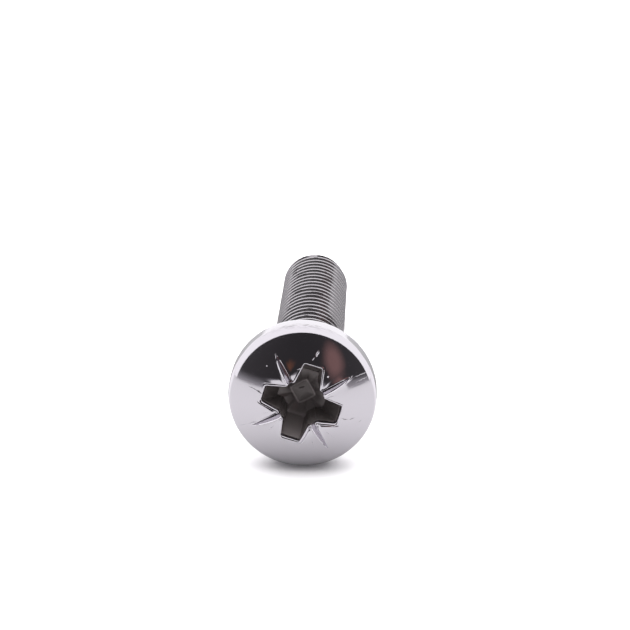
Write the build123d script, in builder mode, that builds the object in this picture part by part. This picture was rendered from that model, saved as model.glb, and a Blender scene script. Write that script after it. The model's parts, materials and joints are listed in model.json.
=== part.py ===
"""M6 x 30 pan head machine screw with a number 3 type Z cross recess.

One cold-headed, thread-rolled steel screw, lying on a flat surface the way it comes to rest: on
the edge of its head and the crest of its last thread.  Millimetres, +Z up, head at -Y, tip at +Y.
The origin is on the surface, under the middle of the screw.  The shank is plain at the outer
diameter of the thread; the helical thread itself is too fine for the solid.
"""
from math import asin, atan2, cos, degrees, hypot, radians, sin, sqrt, tan
import os

from build123d import *

# ---------------------------------------------------------------- shank
thread_diameter = 6.0  # M6, over the crests
shank_length = 30.0  # from the bearing face to the end
point_length = 0.8  # length of the bevel at the tip
point_step = 0.6  # how far the bevel comes in from the crests
neck_fillet = 0.4  # where the shank meets the bearing face

# ---------------------------------------------------------------- head
head_diameter = 12.0
head_height = 4.4  # bearing face to the top of the dome
dome_radius = 10.0
shoulder_radius = 1.0  # dome into the side of the head
heel_radius = 0.7  # side of the head into the bearing face

# ---------------------------------------------------------------- cross recess
wing_count = 4
recess_turn = -17.0  # the cross, turned about the axis from upright, degrees
wing_span = 7.0  # across opposite wings, level with the top of the dome
wing_end_width = 1.5  # of a wing at its outer end, level with the top of the dome
wing_spread = 9.0  # each side of a wing opens toward the axis, degrees
wing_depth = 3.15  # top of the dome to the floor of the wings
wing_end_draft = 26.5  # outer end of a wing leans in toward the bottom, degrees
wing_side_draft = 4.4  # sides of a wing lean together toward the bottom, degrees
core_diameter = 3.9  # round middle, level with the top of the dome
core_draft = 7.0  # wall of the middle, degrees
core_point = 0.6  # depth of the cone below the floor of the wings

# ---------------------------------------------------------------- tick marks between the wings
tick_reach = 4.6  # from the axis to where a mark runs out on the dome
tick_depth = 0.3  # at the edge of the middle of the recess
tick_half_angle = 36.0  # half the angle of the vee, degrees

# ---------------------------------------------------------------- derived
head_radius = head_diameter / 2
thread_radius = thread_diameter / 2
bevel_start = shank_length - point_length
core_radius = core_diameter / 2


def dome_height(radius):
    """Height of the dome over the bearing face at this distance from the axis."""
    return head_height - dome_radius + sqrt(dome_radius**2 - radius**2)


# The screw leans on the heel of the head and on the start of the bevel at the tip: the tangent
# from that point to the heel's round is the line of the surface it lies on.
heel_run = bevel_start + heel_radius
heel_rise = head_radius - heel_radius - thread_radius
lie_angle = atan2(heel_rise, heel_run) + asin(heel_radius / hypot(heel_rise, heel_run))
seat_z = thread_radius * cos(lie_angle) + bevel_start * sin(lie_angle)
# Middle of the screw's length over Y, between the rim of the recess and the top of the tip.
front_y = dome_height(core_radius) * cos(lie_angle) + core_radius * sin(lie_angle)
back_y = shank_length * cos(lie_angle) + (thread_radius - point_step) * sin(lie_angle)
seat_y = (front_y - back_y) / 2

# Bearing face: local z runs out through the top of the dome, local x is across.
seat = Plane(origin=(0, seat_y, seat_z), x_dir=(1, 0, 0), z_dir=(0, -cos(lie_angle), sin(lie_angle)))
# Half section of the screw: local x is the radius, local y the height over the bearing face.
section = Plane(origin=seat.origin, x_dir=seat.x_dir, z_dir=-seat.y_dir)
screw_axis = Axis(seat.origin, seat.z_dir)
# Level with the top of the dome and turned with the cross: the punch's own plane.
punch = Plane(seat.offset(head_height) * Rot(0, 0, recess_turn))


def corner(sketch, radius, height):
    """The corner of a half section nearest to this radius and height."""
    return sketch.vertices().sort_by_distance((radius, height, 0))[0]


def wings(depth):
    """Four tapering wings in one cross, as they stand this far below the top of the dome."""
    reach = wing_span / 2 - depth * tan(radians(wing_end_draft))
    side = wing_end_width / 2 - depth * tan(radians(wing_side_draft))
    end_side = side + (wing_span / 2 - reach) * tan(radians(wing_spread))
    root_side = side + wing_span / 2 * tan(radians(wing_spread))
    with PolarLocations(0, wing_count):
        Polygon(
            (0, -root_side),
            (reach, -end_side),
            (reach, end_side),
            (0, root_side),
            align=None,
        )


with BuildPart() as machine_screw:
    # Head and shank, turned about the axis
    with BuildSketch(section) as body:
        with BuildLine():
            edge_height = dome_height(head_radius)
            Polyline(
                (0, head_height),
                (0, -shank_length),
                (thread_radius - point_step, -shank_length),
                (thread_radius, -bevel_start),
                (thread_radius, 0),
                (head_radius, 0),
                (head_radius, edge_height),
            )
            RadiusArc((head_radius, edge_height), (0, head_height), -dome_radius)
        make_face()
        fillet(corner(body, head_radius, edge_height), shoulder_radius)
        fillet(corner(body, head_radius, 0), heel_radius)
        fillet(corner(body, thread_radius, 0), neck_fillet)
    revolve(axis=screw_axis)

    # Wings of the recess: drafted walls down to a flat floor
    with BuildSketch(punch):
        wings(0)
    with BuildSketch(punch.offset(-wing_depth)):
        wings(wing_depth)
    loft(ruled=True, mode=Mode.SUBTRACT)

    # Round middle of the recess, closed by a shallow cone
    with BuildSketch(section):
        core_floor_radius = core_radius - wing_depth * tan(radians(core_draft))
        Polygon(
            (0, head_height),
            (core_radius, head_height),
            (core_floor_radius, head_height - wing_depth),
            (0, head_height - wing_depth - core_point),
            align=None,
        )
    revolve(axis=screw_axis, mode=Mode.SUBTRACT)

    # Tick marks: vee grooves that run out on the dome, one between each two wings
    tick_floor = dome_height(core_radius) - tick_depth
    tick_fall = atan2(tick_floor - dome_height(tick_reach), tick_reach - core_radius)
    tick_start = core_radius / 2
    start_height = tick_floor + (core_radius - tick_start) * tan(tick_fall) - head_height
    across = Pos(tick_start, 0, start_height) * Rot(0, 90 + degrees(tick_fall), 0)
    half_step = 180 / wing_count
    tick_turns = [half_step + 2 * half_step * index for index in range(wing_count)]
    tick_planes = [punch * Rot(0, 0, turn) * across for turn in tick_turns]
    with BuildSketch(*tick_planes):
        vee_height = head_height - dome_height(head_radius)
        vee_side = vee_height * tan(radians(tick_half_angle))
        Polygon((0, 0), (-vee_height, -vee_side), (-vee_height, vee_side), align=None)
    extrude(amount=(head_radius - tick_start) / cos(tick_fall), mode=Mode.SUBTRACT)

machine_screw.part.label = "machine_screw"

os.makedirs("parts", exist_ok=True)
export_step(machine_screw.part, "parts/machine_screw.step")
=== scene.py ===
import json
import bmesh
import bpy
import numpy as np
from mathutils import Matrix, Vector


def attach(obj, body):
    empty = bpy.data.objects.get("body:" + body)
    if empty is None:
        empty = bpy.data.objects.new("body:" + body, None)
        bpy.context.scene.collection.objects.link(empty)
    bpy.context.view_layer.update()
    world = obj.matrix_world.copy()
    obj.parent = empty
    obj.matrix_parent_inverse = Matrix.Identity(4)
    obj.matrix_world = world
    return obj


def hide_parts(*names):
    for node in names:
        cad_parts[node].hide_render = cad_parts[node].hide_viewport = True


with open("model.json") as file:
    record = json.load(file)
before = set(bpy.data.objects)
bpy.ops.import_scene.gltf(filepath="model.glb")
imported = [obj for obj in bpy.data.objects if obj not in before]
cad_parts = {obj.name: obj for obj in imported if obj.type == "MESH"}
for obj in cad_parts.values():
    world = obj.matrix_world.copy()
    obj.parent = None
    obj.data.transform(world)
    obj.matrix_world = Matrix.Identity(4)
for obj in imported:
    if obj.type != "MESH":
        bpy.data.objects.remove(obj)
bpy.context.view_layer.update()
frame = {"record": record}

# ---------------------------------------------------------------- screw blank
# A length of steel wire, headed cold in a die.  It lies on the rim of its head and the end of its
# thread, so its axis slopes down to the tip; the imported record's mounts say where the axis runs.
mounts = {mount["name"]: mount for mount in frame["record"]["mounts"]}
mm = 0.001
columns = 192  # round the screw: eight half wings of the recess, 24 columns each
head_radius = 6.0
crown_height = 4.4
dome_radius = 10.0
shoulder_radius = 1.0
heel_radius = 0.7
neck_radius = 2.72  # of the unthreaded blank under the head
neck_fillet = 0.4
recess_turn = np.radians(-17.0)

outward = -np.array(mounts["bearing_face"]["axis"])
outward /= np.linalg.norm(outward)
across = np.array([1.0, 0.0, 0.0])
upward = np.cross(outward, across)
seat = np.array(mounts["bearing_face"]["pos_m"]) * [0, 1, 1]
turn = recess_turn + 2 * np.pi * np.arange(columns) / columns


def placed(x, y, height):
    """Screw coordinates in mm (across, up, along the axis from the bearing face) as frame metres:
    the bearing face's centre plus each coordinate times its own unit vector."""
    local = np.stack(np.broadcast_arrays(x, y, height), -1)
    return seat + mm * local @ np.stack([across, upward, outward])


def circle_rings(radii, heights):
    """One ring per radius and height: radius times the cosine and sine of each column's turn."""
    radii, heights = np.asarray(radii, float)[:, None], np.asarray(heights, float)[:, None]
    return placed(radii * np.cos(turn), radii * np.sin(turn), heights + 0 * turn)


def arc(centre_radius, centre_height, radius, start, end, count):
    """Radii and heights along a round: centre plus radius times cosine and sine of the angle."""
    angle = np.radians(np.linspace(start, end, count))
    return centre_radius + radius * np.cos(angle), centre_height + radius * np.sin(angle)


def dome_height(radius):
    """Height of the dome: its sphere's centre plus the square root of dome radius squared less
    distance from the axis squared."""
    return crown_height - dome_radius + np.sqrt(dome_radius**2 - radius**2)


shoulder_reach = head_radius - shoulder_radius
shoulder_height = crown_height - dome_radius + np.sqrt(
    (dome_radius - shoulder_radius) ** 2 - shoulder_reach**2
)
shoulder_end = np.degrees(np.arctan2(shoulder_height - crown_height + dome_radius, shoulder_reach))
dome_edge = shoulder_reach * dome_radius / (dome_radius - shoulder_radius)
neck_start = -0.62

profile = [
    (np.full(4, neck_radius), np.linspace(neck_start, -neck_fillet, 4)),
    arc(neck_radius + neck_fillet, -neck_fillet, neck_fillet, 180, 90, 6),
    (np.linspace(neck_radius + neck_fillet, head_radius - heel_radius, 12), np.zeros(12)),
    arc(head_radius - heel_radius, heel_radius, heel_radius, -90, 0, 9),
    (np.full(5, head_radius), np.linspace(heel_radius, shoulder_height, 5)),
    arc(shoulder_reach, shoulder_height, shoulder_radius, 0, shoulder_end, 15),
]
head_rings = circle_rings(
    np.concatenate([radii for radii, _ in profile]), np.concatenate([h for _, h in profile])
)

# ---------------------------------------------------------------- rolled thread
# M6 x 1 right-hand thread, rolled into the blank between flat dies: 60 degree flanks, a rounded
# root, a narrow crest.  It fades out under the head and is cut back by the bevel at the tip.
pitch = 1.0
crest_radius = mounts["shank"]["dims"]["r_mm"]
flank_slope = 1 / np.tan(np.radians(30))
sharp_radius = crest_radius + pitch / 16 * flank_slope
root_round = 0.1443 * pitch
shank_length = 30.0
runout_start, runout_end = -0.95, -2.3
tip_radius, bevel_slope = 2.40, 0.72
row_phases = np.array([-0.44, -0.36, -0.1, -0.075, -0.04, 0.04, 0.075, 0.1, 0.36, 0.44, 0.5])


def ripple(x, y, scale, seed, waves=9):
    """A gentle unevenness of about -1 to 1: sine waves of random direction and phase, each of about
    the given length in mm, added up and divided by 1.6 times the root of their number."""
    chance = np.random.default_rng(seed)
    angle, phase = chance.uniform(0, 2 * np.pi, (2, waves))
    rate = 2 * np.pi / scale * chance.uniform(0.6, 1.6, waves)
    x, y = np.asarray(x)[..., None], np.asarray(y)[..., None]
    return np.sin(rate * (x * np.cos(angle) + y * np.sin(angle)) + phase).sum(-1) / waves**0.5 / 1.6


def thread_radius(phase):
    """Radius of the full thread at a phase from -0.5 to 0.5 pitch from the crest: the flank falls
    in a straight line from the sharp crest, is cut flat at the crest and rounded at the root."""
    away = np.abs(phase) * pitch
    flank = np.minimum(crest_radius, sharp_radius - flank_slope * away)
    root_centre = sharp_radius - flank_slope * pitch / 2 + 2 * root_round
    beside = np.clip(pitch / 2 - away, 0, root_round)
    root = root_centre - np.sqrt(root_round**2 - beside**2)
    return np.where(pitch / 2 - away < root_round * np.cos(np.radians(30)), root, flank)


def shank_radius(height, part_turn):
    """Radius of the threaded shank at a height and a part of a turn: the thread at the phase that
    its helix has there, faded into the neck under the head and held inside the tip's bevel."""
    along = (height - neck_start) / pitch - part_turn
    phase = along - np.round(along)
    fade = np.clip((runout_start - height) / (runout_start - runout_end), 0, 1)
    fade = fade * fade * (3 - 2 * fade)
    radius = neck_radius + fade * (thread_radius(phase) - neck_radius)
    angle = 2 * np.pi * part_turn
    worn = 0.005 * (1 + ripple(6 * np.cos(angle) + height, 6 * np.sin(angle) - height, 5.0, 3))
    radius = np.minimum(radius, crest_radius - worn)
    from_tip = height + shank_length
    lip = 0.02 * ripple(3 * np.cos(angle), 3 * np.sin(angle), 3.4, 5)
    bevel = tip_radius + lip + bevel_slope * from_tip
    nose = tip_radius + lip - 0.09 * (1 - np.clip(from_tip / 0.12, 0, 1)) ** 2
    return np.minimum(radius, np.minimum(bevel, nose + from_tip * bevel_slope))


turns_of_rows = np.arange(-shank_length - 2 * pitch, 2 * pitch, pitch) / pitch
rows = (turns_of_rows[:, None] + row_phases).ravel()
part_turn = np.arange(columns) / columns
shank_height = neck_start + pitch * (rows[:, None] + part_turn)
shank_height = np.clip(shank_height, -shank_length, neck_start)
radius = shank_radius(shank_height, np.broadcast_to(part_turn, shank_height.shape))
shank_points = placed(radius * np.cos(turn), radius * np.sin(turn), shank_height)

# ---------------------------------------------------------------- sheared end
# The wire was cropped to length: most of the end tore and is rough, the last part was smeared
# smooth and slopes away.
tear_edge = -0.55
end_share = np.linspace(1, 0, 26)[:, None]
end_radius = shank_radius(np.full(columns, -shank_length), part_turn) * end_share
end_x, end_y = end_radius * np.cos(turn), end_radius * np.sin(turn)
inside = np.clip((1 - end_share) * 12, 0, 1)
torn = np.clip((end_y - tear_edge - 0.12 * ripple(end_x, 0 * end_y, 1.7, 11)) / 0.18, 0, 1)
pits = 0.024 * ripple(end_x, end_y, 0.75, 12, 16) + 0.015 * ripple(end_x, end_y, 0.4, 13, 16)
end_sink = inside * torn * (0.04 + pits) + inside * 0.14 * np.clip(tear_edge - end_y, 0, 3)
end_rings = placed(end_x, end_y, -shank_length + end_sink)

# ---------------------------------------------------------------- cross recess
# A punch drives the cross into the cold dome: four drafted wings round a drafted middle, and a
# shallow vee mark between each two wings.  The metal is drawn in and torn up round them.
half_columns = 24
wing_reach = 3.5
wing_side = 0.75
punch_wear = {(2, -1): 0.2}  # of a wing's half, off its side at the end
long_wing, extra_reach = 1, 0.1
wing_spread, wing_draft, end_draft, core_draft = np.tan(np.radians([9.0, 4.4, 26.5, 7.0]))
core_radius = 1.95
recess_depth = 3.15
kite_depth = 0.45
kite_size, kite_power = 1.08, 1.1  # its points reach the size; a power of 1 would be a square
cone_depth = 0.12
corner_round = 0.1
mark_reach = 4.6
mark_depth = 0.3
mark_end = mark_reach + 0.1
ridge_middle, ridge_foot = 0.035, 0.12  # beside a mark's edge
mark_slope = np.tan(np.radians(36.0))
mark_floor = dome_height(core_radius) - mark_depth
mark_fall = (mark_floor - dome_height(mark_reach)) / (mark_reach - core_radius)
step = np.arange(columns)
quarter = (step + half_columns) // (2 * half_columns)
beside_wing = step - 2 * half_columns * quarter
column = np.abs(beside_wing)
side_of_wing = np.where(beside_wing < 0, -1.0, 1.0)
from_mark = np.clip(half_columns - column, 0, 5)  # columns away from the mark's middle line
reach_of_wing = wing_reach + extra_reach * (quarter % 4 == long_wing)
wear = sum(
    worn * (quarter % 4 == wing) * (side_of_wing == hand)
    for (wing, hand), worn in punch_wear.items()
)


def mark_half_width(radius):
    """Half the width of a vee mark: its depth under the dome times the vee's slope, where its
    floor is a straight line that meets the dome at the mark's reach."""
    depth = dome_height(radius) - (mark_floor - mark_fall * (radius - core_radius))
    return np.clip(depth * mark_slope, 0, 1)


def beside_mark(radius):
    """Sideways place of the five columns next to a mark's middle line: the middle of its wall, its
    edge, then three columns over the ridge that was pushed up beside it."""
    ridge = np.array([0, 0, 0, ridge_middle, 0.07, ridge_foot])[from_mark]
    return mark_half_width(radius) * np.array([0, 0.5, 1, 1, 1, 1])[from_mark] + ridge


def cross_outline(depth):
    """Along-wing and sideways places of the recess wall in each column at its depth, and the
    wall's outward direction: end, rounded corner, side, middle, then the edge of the mark."""
    reach = reach_of_wing - depth * end_draft
    base = wing_side - depth * wing_draft + wing_reach * wing_spread
    core = core_radius - depth * core_draft
    square = 1 + wing_spread**2
    root = (base * wing_spread + np.sqrt(core**2 * square - base**2)) / square
    root_angle = np.arctan2(base - wing_spread * root, root)
    mark_angle = np.pi / 4 - np.arcsin(beside_mark(core_radius) / core)
    outer_angle = np.pi / 4 - np.arcsin((mark_half_width(core_radius) + ridge_foot) / core)
    end_side = base - wing_spread * reach - corner_round - wear
    side_run = reach - corner_round + (root - reach + corner_round) * (column - 8) / 7
    angle = root_angle + (outer_angle - root_angle) * (column - 15) / 4
    angle = np.where(column < 19, angle, mark_angle)
    bend = np.pi / 2 * (column - 6) / 2
    zones = [column <= 6, column < 8, column <= 15]
    rounded = reach - corner_round * (1 - np.cos(bend))
    flat = end_side * column / 6
    corner = end_side + corner_round * np.sin(bend)
    along = np.select(zones, [reach, rounded, side_run], core * np.cos(angle))
    spread_side = base - wing_spread * side_run - wear * (15 - column) / 7
    side = np.select(zones, [flat, corner, spread_side], core * np.sin(angle))
    faces = [column < 6, column < 8, column < 15, column == 15]
    out_along = np.select(faces, [1, np.cos(bend), wing_spread, 0.6], np.cos(angle))
    out_side = np.select(faces, [0, np.sin(bend), 1, 0.92], np.sin(angle))
    return along, side, out_along, out_side


def in_head(along, side):
    """Across and up places on the head from places along and beside each column's wing: turned by
    the wing's quarter and by the cross's own turn."""
    angle = recess_turn + quarter * np.pi / 2
    side = side * side_of_wing
    x = along * np.cos(angle) - side * np.sin(angle)
    y = along * np.sin(angle) + side * np.cos(angle)
    return x, y


def marked_dome(along, side):
    """Height of the dome less the depth of the vee mark there, which falls off evenly from the
    mark's middle line to its edges, plus the ridge beside it."""
    radius = np.hypot(along, side)
    off_line = np.abs(along - side) / np.sqrt(2)
    width = mark_half_width(radius)
    vee = np.clip(width - off_line, 0, 1) / mark_slope
    ridge = 0.04 * np.clip(1 - np.abs(off_line - width - ridge_middle) / 0.05, 0, 1)
    ridge = ridge * np.clip((mark_end - radius) / 0.6, 0, 1)
    return dome_height(radius) + np.where(radius < mark_end, ridge - vee, 0)


mouth_depth = 0.5 + 0 * turn
_, _, out_along, out_side = cross_outline(mouth_depth)
downward = -in_head(out_along, out_side)[1]
lip = 0.12 + np.where(column < 8, 0.15, 0.1) * np.clip(downward, 0, 1)
lip = lip * (1 + 0.22 * ripple(6 * np.cos(turn), 6 * np.sin(turn), 2.0, 21))
ragged = np.clip(ripple(9 * np.cos(turn), 9 * np.sin(turn), 3.0, 24) + 0.9, 0.45, 2)
drawn_in = (0.085 + 0.045 * np.clip(-downward, 0, 1)) * np.clip((column - 9) / 6, 0, 1)
drawn_over = 0.42 * (1 + 0.22 * ripple(5 * np.cos(turn), 5 * np.sin(turn), 1.6, 25))
for _ in range(6):
    along, side, out_along, out_side = cross_outline(mouth_depth)
    mouth_depth = crown_height - marked_dome(along, side) + lip + drawn_in
torn_share = np.select([column > 18, column < 8], [0.3, 0.25], 1)  # less by a mark and at an end
torn_up = 0.065 * ragged * np.clip(0.2 + 0.9 * downward, 0.1, 1) * torn_share

# Dome: each column runs from its place on the lip to its place on the dome's outer edge
lip_along, lip_side = along + lip * out_along, side + lip * out_side
start_radius, start_angle = np.hypot(lip_along, lip_side), np.arctan2(lip_side, lip_along)
spread_start = 3.6
share = np.linspace(1, 0, 42)[:, None] ** 1.35
radius = start_radius + (dome_edge - start_radius) * share
even_angle = column * np.pi / 4 / half_columns
angle = start_angle + (even_angle - start_angle) * share
outward_share = np.clip((radius - spread_start) / (dome_edge - spread_start), 0, 1) ** 2
even_side = dome_edge * np.sin(np.pi / 4 * from_mark / half_columns)
by_mark = beside_mark(radius) * (1 - outward_share) + even_side * outward_share
angle = np.where(column >= 19, np.pi / 4 - np.arcsin(np.clip(by_mark / radius, 0, 1)), angle)
dome_along, dome_side = radius * np.cos(angle), radius * np.sin(angle)
off_lip = radius - start_radius
groove = 0.9 * np.exp(-(((off_lip - 0.13) / 0.06) ** 2))
burr = torn_up * (np.exp(-((off_lip / 0.05) ** 2)) - groove)
sag = drawn_in * np.exp(-((off_lip / drawn_over) ** 2))
dome_top = marked_dome(dome_along, dome_side) + burr - sag
dome_rings = placed(*in_head(dome_along, dome_side), dome_top)

# Lip: a quarter round from the dome into the wall
bend = np.linspace(0, np.pi / 2, 7)[1:, None]
roll = lip * (1 - np.sin(bend))
roll_along, roll_side = along + roll * out_along, side + roll * out_side
roll_height = marked_dome(roll_along, roll_side) - lip * (1 - np.cos(bend))
roll_height = roll_height - drawn_in + torn_up * np.cos(bend) ** 2
lip_rings = placed(*in_head(roll_along, roll_side), roll_height)

# Wall down to the floor, the floor in to the punch's kite-shaped nose, then its blunt point
wall_rings = []
for down in (0.06, 0.15, 0.3, 0.45, 0.6, 0.75, 0.9, 1.0):
    depth = mouth_depth + (recess_depth - mouth_depth) * down
    along, side, _, _ = cross_outline(depth)
    wall_rings.append(placed(*in_head(along, side), crown_height - depth))
floor_angle = np.arctan2(side, along)
kite = np.cos(floor_angle) ** kite_power + np.sin(floor_angle) ** kite_power
kite = kite_size / kite ** (1 / kite_power)
kite_along, kite_side = kite * np.cos(floor_angle), kite * np.sin(floor_angle)
inward = np.array([0.35, 0.7, 0.93, 1.0])[:, None]
floor_rings = placed(
    *in_head(along + (kite_along - along) * inward, side + (kite_side - side) * inward),
    crown_height - recess_depth - kite_depth * inward**1.5,
)
inward = np.array([0.94, 0.85, 0.7, 0.5, 0.3, 0.12, 0.0])[:, None]
nose_rings = placed(
    *in_head(kite_along * inward, kite_side * inward),
    crown_height - recess_depth - kite_depth - cone_depth * (1 - inward**2),
)

# ---------------------------------------------------------------- the screw in one piece
# All of it is one piece of steel, so the stretches above are welded into one closed mesh.


def ring_faces(count, first):
    """Quads between each ring and the next, closed round the last column."""
    ring, place = np.meshgrid(np.arange(count - 1), np.arange(columns), indexing="ij")
    after = (place + 1) % columns
    start = first + ring * columns
    after_next, place_next = start + columns + after, start + columns + place
    return np.stack([start + place, start + after, after_next, place_next], -1)


def helix_faces(count, first, per_turn):
    """Quads between each row and the next; the last column joins the first one turn further on."""
    row, place = np.meshgrid(np.arange(count - 1), np.arange(columns), indexing="ij")
    last = place == columns - 1
    after = (place + 1) % columns
    low = np.minimum(row + per_turn * last, count - 1)
    high = np.minimum(row + 1 + per_turn * last, count - 1)
    quads = [row * columns + place, low * columns + after, high * columns + after]
    quads.append((row + 1) * columns + place)
    return first + np.stack(quads, -1)


head_surface = [head_rings, dome_rings, lip_rings, np.stack(wall_rings), floor_rings, nose_rings]
head_surface = np.concatenate(head_surface)
surfaces = [end_rings[::-1], shank_points, head_surface]
firsts = np.cumsum([0] + [len(rings) * columns for rings in surfaces])
faces = np.concatenate([
    ring_faces(len(end_rings), firsts[0]).reshape(-1, 4),
    helix_faces(len(shank_points), firsts[1], len(row_phases)).reshape(-1, 4),
    ring_faces(len(head_surface), firsts[2]).reshape(-1, 4),
])
mesh = bpy.data.meshes.new("machine_screw_surface")
mesh.from_pydata(np.concatenate([s.reshape(-1, 3) for s in surfaces]).tolist(), [], faces.tolist())
work = bmesh.new()
work.from_mesh(mesh)
bmesh.ops.remove_doubles(work, verts=work.verts, dist=2e-7)
bmesh.ops.dissolve_degenerate(work, edges=work.edges, dist=1e-8)
bmesh.ops.recalc_face_normals(work, faces=work.faces)
work.to_mesh(mesh)
work.free()
mesh.polygons.foreach_set("use_smooth", np.ones(len(mesh.polygons), bool))
mesh.set_sharp_from_angle(angle=np.radians(38))
screw = bpy.data.objects.new("threaded_screw", mesh)
bpy.context.scene.collection.objects.link(screw)
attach(screw, "root")
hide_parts("machine_screw")

# ---------------------------------------------------------------- bright nickel plating
# Low-carbon steel, barrel-plated with a few micrometres of bright nickel: a mirror on the dome,
# softer where the thread was rolled, matt on the sheared end and the bearing face.


def linear(code):
    """An sRGB hex colour as linear red, green, blue and alpha: each channel over 12.92 below
    0.04045, and otherwise raised by 0.055, divided by 1.055 and taken to the power 2.4."""
    channels = np.array([int(code[i : i + 2], 16) for i in (1, 3, 5)]) / 255
    low, high = channels / 12.92, ((channels + 0.055) / 1.055) ** 2.4
    return (*np.where(channels <= 0.04045, low, high), 1.0)


def add(tree, kind, settings=None, **links):
    """Adds a node of this kind with its settings, and sets or links its inputs by name, where an
    underscore in the name stands for a space."""
    made = tree.nodes.new(kind)
    for name, value in (settings or {}).items():
        setattr(made, name, value)
    for name, value in links.items():
        socket = made.inputs[name.replace("_", " ")]
        if isinstance(value, bpy.types.NodeSocket):
            tree.links.new(value, socket)
        else:
            socket.default_value = value
    return made


def screw_place(tree):
    """Object coordinates turned into the screw's own millimetres: across, up, along the axis."""
    place = add(tree, "ShaderNodeTexCoord").outputs["Object"]
    lean = (np.arctan2(upward[2], upward[1]), 0, 0)
    turned = {"Location": tuple(seat), "Rotation": lean, "Scale": (mm, mm, mm)}
    mapping = add(tree, "ShaderNodeMapping", {"vector_type": "TEXTURE"}, Vector=place, **turned)
    return mapping.outputs[0]


def plated_steel(name, colour, roughness, grain_size, grain_depth, patchy=None, marks=(), bare=1.0):
    """Plated steel with an even colour and gloss and a grain of the given size and depth in mm.
    Each mark is a dent across and up the head: centre, turn, half length, half width, depth and how
    dark its bottom is, a painted shade in the dent.  Patchy says where the darkening held in one
    attribute shows, which is grime on some parts and painted shade on others: as a noise rises from
    the first value to the second, with so many spots per mm across, up and along; without it there
    is none.  Bare is the share of the surface that is clean metal, not dulled by the punch's
    drawing soap."""
    material = bpy.data.materials.new(name)
    material.use_nodes = True
    tree = material.node_tree
    shader = tree.nodes["Principled BSDF"]
    shader.inputs["Metallic"].default_value = bare
    shader.inputs["Base Color"].default_value = linear(colour)
    shader.inputs["Roughness"].default_value = roughness
    place = screw_place(tree)
    grain = add(tree, "ShaderNodeTexNoise", Vector=place, Scale=1 / grain_size, Detail=3.0)
    height = add(tree, "ShaderNodeMath", {"operation": "MULTIPLY"}).outputs[0]
    tree.links.new(grain.outputs["Fac"], height.node.inputs[0])
    height.node.inputs[1].default_value = grain_depth
    if patchy is None:
        bump = add(tree, "ShaderNodeBump", Height=height, Distance=mm, Strength=1.0)
        tree.links.new(bump.outputs["Normal"], shader.inputs["Normal"])
        return material
    fine = add(tree, "ShaderNodeVectorMath", {"operation": "MULTIPLY"})
    tree.links.new(place, fine.inputs[0])
    fine.inputs[1].default_value = patchy[2:]
    spots = add(tree, "ShaderNodeTexNoise", Vector=fine.outputs[0], Scale=1.0, Detail=3.0)
    cover = add(tree, "ShaderNodeMapRange", {"interpolation_type": "SMOOTHSTEP"})
    tree.links.new(spots.outputs["Fac"], cover.inputs["Value"])
    cover.inputs["From Min"].default_value, cover.inputs["From Max"].default_value = patchy[:2]
    held = add(tree, "ShaderNodeAttribute", {"attribute_name": "grime_and_painted_shade"})
    dirt = add(tree, "ShaderNodeMath", {"operation": "MULTIPLY"})
    tree.links.new(held.outputs["Fac"], dirt.inputs[0])
    tree.links.new(cover.outputs[0], dirt.inputs[1])
    dark = dirt.outputs[0]
    if marks:
        wander = add(tree, "ShaderNodeTexNoise", Vector=place, Scale=3.0, Detail=4.0)
        shift = add(tree, "ShaderNodeVectorMath", {"operation": "SUBTRACT"})
        tree.links.new(wander.outputs["Color"], shift.inputs[0])
        shift.inputs[1].default_value = (0.5, 0.5, 0.5)
        wavy = add(tree, "ShaderNodeVectorMath", {"operation": "MULTIPLY_ADD"})
        tree.links.new(shift.outputs[0], wavy.inputs[0])
        wavy.inputs[1].default_value = (0.2, 0.2, 0.0)
        tree.links.new(place, wavy.inputs[2])
    for x, y, angle, half_length, half_width, depth, darkness in marks:
        spot = add(
            tree,
            "ShaderNodeMapping",
            {"vector_type": "TEXTURE"},
            Vector=wavy.outputs[0],
            Location=(x, y, 0),
            Rotation=(0, 0, np.radians(angle)),
            Scale=(half_length, half_width, 1000.0),
        )
        off = add(tree, "ShaderNodeVectorMath", {"operation": "LENGTH"})
        tree.links.new(spot.outputs[0], off.inputs[0])
        inside = add(tree, "ShaderNodeMapRange", {"interpolation_type": "SMOOTHSTEP"})
        tree.links.new(off.outputs["Value"], inside.inputs["Value"])
        fade = {"From Min": 0.1, "From Max": 1.0, "To Min": 1.0, "To Max": 0.0}
        for socket, value in fade.items():
            inside.inputs[socket].default_value = value
        sunk = add(tree, "ShaderNodeMath", {"operation": "MULTIPLY_ADD"})
        tree.links.new(inside.outputs[0], sunk.inputs[0])
        sunk.inputs[1].default_value = -depth
        tree.links.new(height, sunk.inputs[2])
        height = sunk.outputs[0]
        # Painted shade: a dent's bottom darkened by its darkness
        if darkness:
            dent_shade = add(tree, "ShaderNodeMath", {"operation": "MULTIPLY_ADD"})
            tree.links.new(inside.outputs[0], dent_shade.inputs[0])
            dent_shade.inputs[1].default_value = darkness
            tree.links.new(dark, dent_shade.inputs[2])
            dark = dent_shade.outputs[0]
    bump = add(tree, "ShaderNodeBump", Height=height, Distance=mm, Strength=1.0)
    tree.links.new(bump.outputs["Normal"], shader.inputs["Normal"])
    # The colour darkens toward a dark brown by the grime, the painted shade and the dents' painted
    # shade
    blend = add(tree, "ShaderNodeMix", {"data_type": "RGBA"})
    tree.links.new(dark, blend.inputs["Factor"])
    blend.inputs[6].default_value = linear(colour)
    blend.inputs[7].default_value = linear("#3A3432")
    tree.links.new(blend.outputs[2], shader.inputs["Base Color"])
    return material


# Dents in the head; the last value of each is painted shade at its bottom
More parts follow.
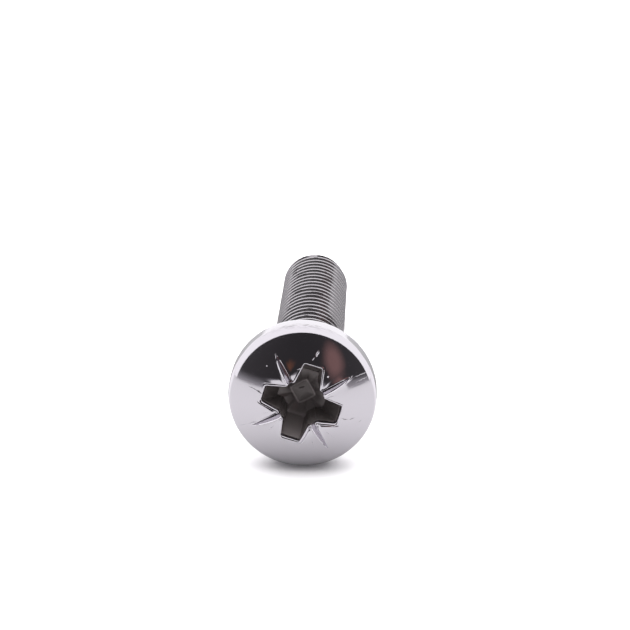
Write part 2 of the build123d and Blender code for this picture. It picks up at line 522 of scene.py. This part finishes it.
dents = [
    (1.25, 4.09, 54, 0.34, 0.1, 0.05, 0),
    (0.95, 3.70, 56, 0.17, 0.04, 0.02, 0),
    (2.15, 2.30, 0, 0.1, 0.09, 0.04, 0),
    (-2.76, 3.02, 0, 0.08, 0.06, 0.02, 0),
    (3.50, 4.49, 0, 0.07, 0.05, 0.015, 0),
    (-0.59, -5.37, 55, 0.17, 0.05, 0.015, 0),
    (-0.15, 2.92, 20, 0.25, 0.03, 0.012, 0),
    (-3.88, 1.15, -16, 0.36, 0.05, 0.02, 0.6),
    (-3.35, 0.94, -28, 0.33, 0.06, 0.03, 0.8),
    (-4.75, -2.21, 27, 0.48, 0.03, 0.008, 0.3),
    (-3.91, -1.83, 22, 0.55, 0.04, 0.012, 0.5),
    (3.44, -1.31, -15, 0.38, 0.05, 0.014, 0.5),
    (4.04, -1.35, 10, 0.33, 0.04, 0.012, 0.4),
    (4.68, -1.69, 27, 0.26, 0.03, 0.01, 0.3),
    (4.76, 2.21, 13, 0.7, 0.03, 0.012, 0.1),
    (4.85, 1.82, 18, 0.6, 0.03, 0.01, 0.1),
]
even, rubbed_lines, pitted = (-1, 0.3, 1, 1, 1), (0.45, 0.7, 1.6, 3, 16), (0.5, 0.7, 6, 6, 6)
chip = [(-0.1, 0.27, 15, 0.28, 0.08, 0.06, 0)]
for material in (
    plated_steel("bright_nickel_head", "#CDC9D0", 0.06, 0.08, 0.0012, even, dents),
    plated_steel("bright_nickel_thread", "#B2AEB3", 0.22, 0.3, 0.001, even),
    plated_steel("dull_nickel_bearing_face", "#B4AFB4", 0.42, 0.2, 0.006),
    plated_steel("torn_steel_end", "#B5B1B4", 0.4, 0.1, 0.008, pitted),
    plated_steel("punched_recess", "#8C8485", 0.33, 0.3, 0.004, even, chip, bare=0.4),
    plated_steel("tumbled_rim", "#CDC9D0", 0.09, 0.12, 0.0022, rubbed_lines),
):
    mesh.materials.append(material)


def screw_measures(flat):
    """Across, up, height and distance from the axis in mm, of places given as one flat list."""
    local = (flat.reshape(-1, 3) - seat) @ np.stack([across, upward, outward]).T / mm
    return *local.T, np.hypot(local[:, 0], local[:, 1])


def at_torn_end(height, radius):
    """Whether a place is on the sheared end: within 0.6 mm of the tip and inside its bevel."""
    return (height < -shank_length + end_zone) & (radius < 2.3)


def in_cross(height, radius):
    """Whether a place is in the recess: within 3.6 mm of the axis and 0.42 mm below the dome."""
    return (height < dome_height(np.minimum(radius, head_radius)) - 0.42) & (radius < 3.6)


# One attribute darkens the colour: grime in the tears of the end and in a rubbed band along the top
# of the rim, and painted shade in the thread's root and deep in the recess
end_zone = 0.6
rim_start = 5.6
points = np.empty(len(mesh.vertices) * 3)
mesh.vertices.foreach_get("co", points)
x, y, height, radius = screw_measures(points)
in_end = at_torn_end(height, radius)
in_thread = height < -0.9
# Painted shade in the thread's root: the deeper the root, the darker, fading out near the sheared
# end
root = np.clip((2.86 - radius) / 0.42, 0, 1)
root = root * np.clip((height + shank_length - end_zone) / 0.5, 0, 1)
pits = 0.5 * np.clip((y - tear_edge + 0.1) / 0.5, 0, 1)
pits = pits * np.exp(-(((y - tear_edge - 0.6) / 1.5) ** 2))
u = x * np.cos(recess_turn) + y * np.sin(recess_turn)
v = y * np.cos(recess_turn) - x * np.sin(recess_turn)
in_recess = in_cross(height, radius) & (height > 0.5)
# Painted shade deep in the recess: darkest on the kite-shaped floor, none round its edge, almost
# none on the one wing's end wall that faces up into the light
kite_share = (np.abs(u) ** kite_power + np.abs(v) ** kite_power) ** (1 / kite_power) / kite_size
lit_end_wall = -v > wing_reach - end_draft * (crown_height - height) - 0.06
painted_recess_shade = np.select([kite_share < 0.9, kite_share < 1.02, lit_end_wall], [0.68, 0, 0.02], 0.55)
from_top = np.degrees(np.arctan2(y, x)) - 93
rubbed = 0.9 * np.exp(-((from_top / 24) ** 2 + ((height - 1.95) / 0.3) ** 2))
on_rim = (radius > rim_start) & (height > 0.5)
grime_and_painted_shade = np.select([in_end, in_thread, in_recess, on_rim], [pits, root, painted_recess_shade, rubbed], 0)
mesh.attributes.new("grime_and_painted_shade", "FLOAT", "POINT").data.foreach_set("value", grime_and_painted_shade)

centres = np.empty(len(mesh.polygons) * 3)
mesh.polygons.foreach_get("center", centres)
_, _, height, radius = screw_measures(centres)
torn, threaded, bearing = at_torn_end(height, radius), height < -0.25, height < 0.02
zones = [torn, threaded, bearing, in_cross(height, radius), radius > rim_start]
finish = np.select(zones, [3, 1, 2, 4, 5], 0)
mesh.polygons.foreach_set("material_index", finish.astype(np.int32))

# ---------------------------------------------------------------- floor
# A sheet of white acrylic under the screw, larger than any view.  It is paler to the camera than in
# reflections and brightens with distance, so that it has no edge against the tent.  To reflections
# and bounced light it glows too, a little in front of the screw's head and more behind it: painted
# light.
floor_mesh = bpy.data.meshes.new("floor")
floor_size = 6.0
corners = [
    (east * floor_size, north * floor_size, 0)
    for east, north in ((-1, -1), (1, -1), (1, 1), (-1, 1))
]
floor_mesh.from_pydata(corners, [], [(0, 1, 2, 3)])
floor = bpy.data.objects.new("floor", floor_mesh)
bpy.context.scene.collection.objects.link(floor)
floor_paint = bpy.data.materials.new("white_acrylic")
floor_paint.use_nodes = True
tree = floor_paint.node_tree
shader = tree.nodes["Principled BSDF"]
path = add(tree, "ShaderNodeLightPath")
seen = add(tree, "ShaderNodeMix", {"data_type": "RGBA"})
tree.links.new(path.outputs["Is Camera Ray"], seen.inputs["Factor"])
seen.inputs[6].default_value = (0.48, 0.478, 0.481, 1)
seen.inputs[7].default_value = (0.96, 0.945, 0.965, 1)
tree.links.new(seen.outputs[2], shader.inputs["Base Color"])
shader.inputs["Roughness"].default_value = 0.6
shader.inputs["Specular IOR Level"].default_value = 0.0
lift = add(tree, "ShaderNodeMapRange")
tree.links.new(path.outputs["Is Camera Ray"], lift.inputs["Value"])
place = add(tree, "ShaderNodeTexCoord").outputs["Object"]
away = add(tree, "ShaderNodeVectorMath", {"operation": "LENGTH"})
tree.links.new(place, away.inputs[0])
far = add(tree, "ShaderNodeMapRange", {"interpolation_type": "SMOOTHSTEP"})
tree.links.new(away.outputs["Value"], far.inputs["Value"])
for socket, value in {"From Min": 0.1, "From Max": 0.9, "To Max": 0.6}.items():
    far.inputs[socket].default_value = value
tree.links.new(far.outputs[0], lift.inputs["To Max"])
# Painted light: the floor's glow to all but camera rays, rising from in front of the head to behind
# it
glow_behind_head = add(tree, "ShaderNodeMapRange", {"interpolation_type": "SMOOTHSTEP"})
parts = add(tree, "ShaderNodeSeparateXYZ", Vector=place)
tree.links.new(parts.outputs["Y"], glow_behind_head.inputs["Value"])
rise = {"From Min": -0.013, "From Max": -0.003, "To Min": 0.06, "To Max": 0.33}
for socket, value in rise.items():
    glow_behind_head.inputs[socket].default_value = value
tree.links.new(glow_behind_head.outputs[0], lift.inputs["To Min"])
shader.inputs["Emission Color"].default_value = (1, 1, 1, 1)
tree.links.new(lift.outputs[0], shader.inputs["Emission Strength"])
floor_mesh.materials.append(floor_paint)

# ---------------------------------------------------------------- light
# A white tent with an opening in front, where the room is dark, and a soft panel overhead.  The
# tent is brighter in reflections than in the light that it gives; the panel has no reflection.
world = bpy.data.worlds.new("white_tent")
bpy.context.scene.world = world
world.use_nodes = True
tree = world.node_tree
sky = tree.nodes["Background"]
path = add(tree, "ShaderNodeLightPath")
strength = add(tree, "ShaderNodeMapRange")
tree.links.new(path.outputs["Is Glossy Ray"], strength.inputs["Value"])
strength.inputs["To Min"].default_value = 0.5
strength.inputs["To Max"].default_value = 1.38
seen = add(tree, "ShaderNodeMath", {"operation": "MAXIMUM"})
tree.links.new(strength.outputs[0], seen.inputs[0])
tree.links.new(path.outputs["Is Camera Ray"], seen.inputs[1])
tree.links.new(seen.outputs[0], sky.inputs["Strength"])
sky.inputs["Color"].default_value = (1, 1, 1, 1)


def glowing_card(name, points, faces, colours):
    """A card that shows only in reflections, with its own light in each point's colour."""
    card_mesh = bpy.data.meshes.new(name)
    card_mesh.from_pydata(points.tolist(), [], faces.tolist())
    layer = card_mesh.color_attributes.new("glow", "FLOAT_COLOR", "POINT")
    layer.data.foreach_set("color", np.append(colours, np.ones((len(colours), 1)), 1).ravel())
    card = bpy.data.objects.new(name, card_mesh)
    bpy.context.scene.collection.objects.link(card)
    paint = bpy.data.materials.new(name)
    paint.use_nodes = True
    tree = paint.node_tree
    tree.nodes.remove(tree.nodes["Principled BSDF"])
    glow = add(tree, "ShaderNodeAttribute", {"attribute_name": "glow"})
    light = add(tree, "ShaderNodeEmission", Color=glow.outputs["Color"], Strength=1.0)
    tree.links.new(light.outputs[0], tree.nodes["Material Output"].inputs["Surface"])
    card_mesh.materials.append(paint)
    card.visible_camera = card.visible_diffuse = card.visible_shadow = False


# The room seen through the tent's opening: dark, lighter toward the table, with two soft patches
opening_distance = 0.42
card_columns, card_rows = 121, 61
bow, rise = np.meshgrid(np.linspace(0, np.pi, card_columns), np.linspace(0, 1, card_rows))
half_width, height = 2.6 * opening_distance, 1.8 * opening_distance
card_x = 0.35 * opening_distance - half_width * np.cos(bow)
card_z = height * np.sin(bow) ** 1.5 * rise
points = np.stack([card_x, -opening_distance + 0 * bow, card_z], -1)
west, lift_angle = np.degrees(
    [np.arctan2(card_x, opening_distance), np.arctan2(card_z, np.hypot(card_x, opening_distance))]
)
near_table = np.clip(1 - lift_angle / 9, 0, 1)[..., None] ** 1.5
glow = np.array([0.036, 0.034, 0.036]) * (1.6 - 0.6 * np.cos(np.radians(west * 1.5)))[..., None]
glow = glow + near_table * np.array([0.44, 0.43, 0.45])


def patch(middle_west, middle_lift, half_west, half_lift):
    """A soft spot on the card: one in the middle, fading over an ellipse of these half angles."""
    off = np.hypot((west - middle_west) / half_west, (lift_angle - middle_lift) / half_lift)
    return np.clip(1.6 - 1.2 * off, 0, 1)[..., None]


glow = glow + patch(31, 26, 9.5, 16) * np.array([0.2, 0.1, 0.09])
glow = glow + patch(-13, 23, 2.4, 6) * np.array([0.16, 0.05, 0.015])
first = np.arange(card_rows - 1)[:, None] * card_columns + np.arange(card_columns - 1)
above = first + card_columns
faces = np.stack([first, first + 1, above + 1, above], -1).reshape(-1, 4)
glowing_card("tent_opening", points.reshape(-1, 3), faces, glow.reshape(-1, 3))

# Two grey cards on the table, where the screw's neighbours lie in its set, paler at the top
card_height = 11
corners = np.array([[-14.6, -4], [-6.9, -4], [-13, 26], [14, -4], [6.4, -4], [14, 26]])
low, high = np.insert(corners, 2, 0, axis=1), np.insert(corners, 2, card_height, axis=1)
points = np.concatenate([low, high])
faces = np.array([[0, 1, 7, 6], [1, 2, 8, 7], [3, 4, 10, 9], [4, 5, 11, 10]])
glowing_card("side_cards", points * mm, faces, np.repeat([[0.36], [0.75]], 6, axis=0) * np.ones(3))

panel = bpy.data.lights.new("overhead_panel", "AREA")
panel.shape = "RECTANGLE"
panel.size, panel.size_y = 1.6, 1.0
panel.energy = 16.2
panel_object = bpy.data.objects.new("overhead_panel", panel)
bpy.context.scene.collection.objects.link(panel_object)
panel_object.location = (0, 0.3, 0.55)
panel_object.visible_camera = panel_object.visible_glossy = False

# ---------------------------------------------------------------- camera
# Low in front of the head, looking down along the screw.
camera = bpy.data.cameras.new("camera")
camera.sensor_width = 36.0
camera.lens = 122.96
camera.clip_start, camera.clip_end = 0.01, 20
camera_object = bpy.data.objects.new("camera", camera)
bpy.context.scene.collection.objects.link(camera_object)
heading, dip = np.radians(1.989), np.radians(23.214)
ahead = Vector((-np.sin(heading) * np.cos(dip), np.cos(heading) * np.cos(dip), -np.sin(dip)))
camera_object.location = (0.0064675, -0.17166, 0.08051)
camera_object.rotation_euler = ahead.to_track_quat("-Z", "Y").to_euler()
bpy.context.scene.camera = camera_object

bpy.context.scene.view_settings.view_transform = "Standard"
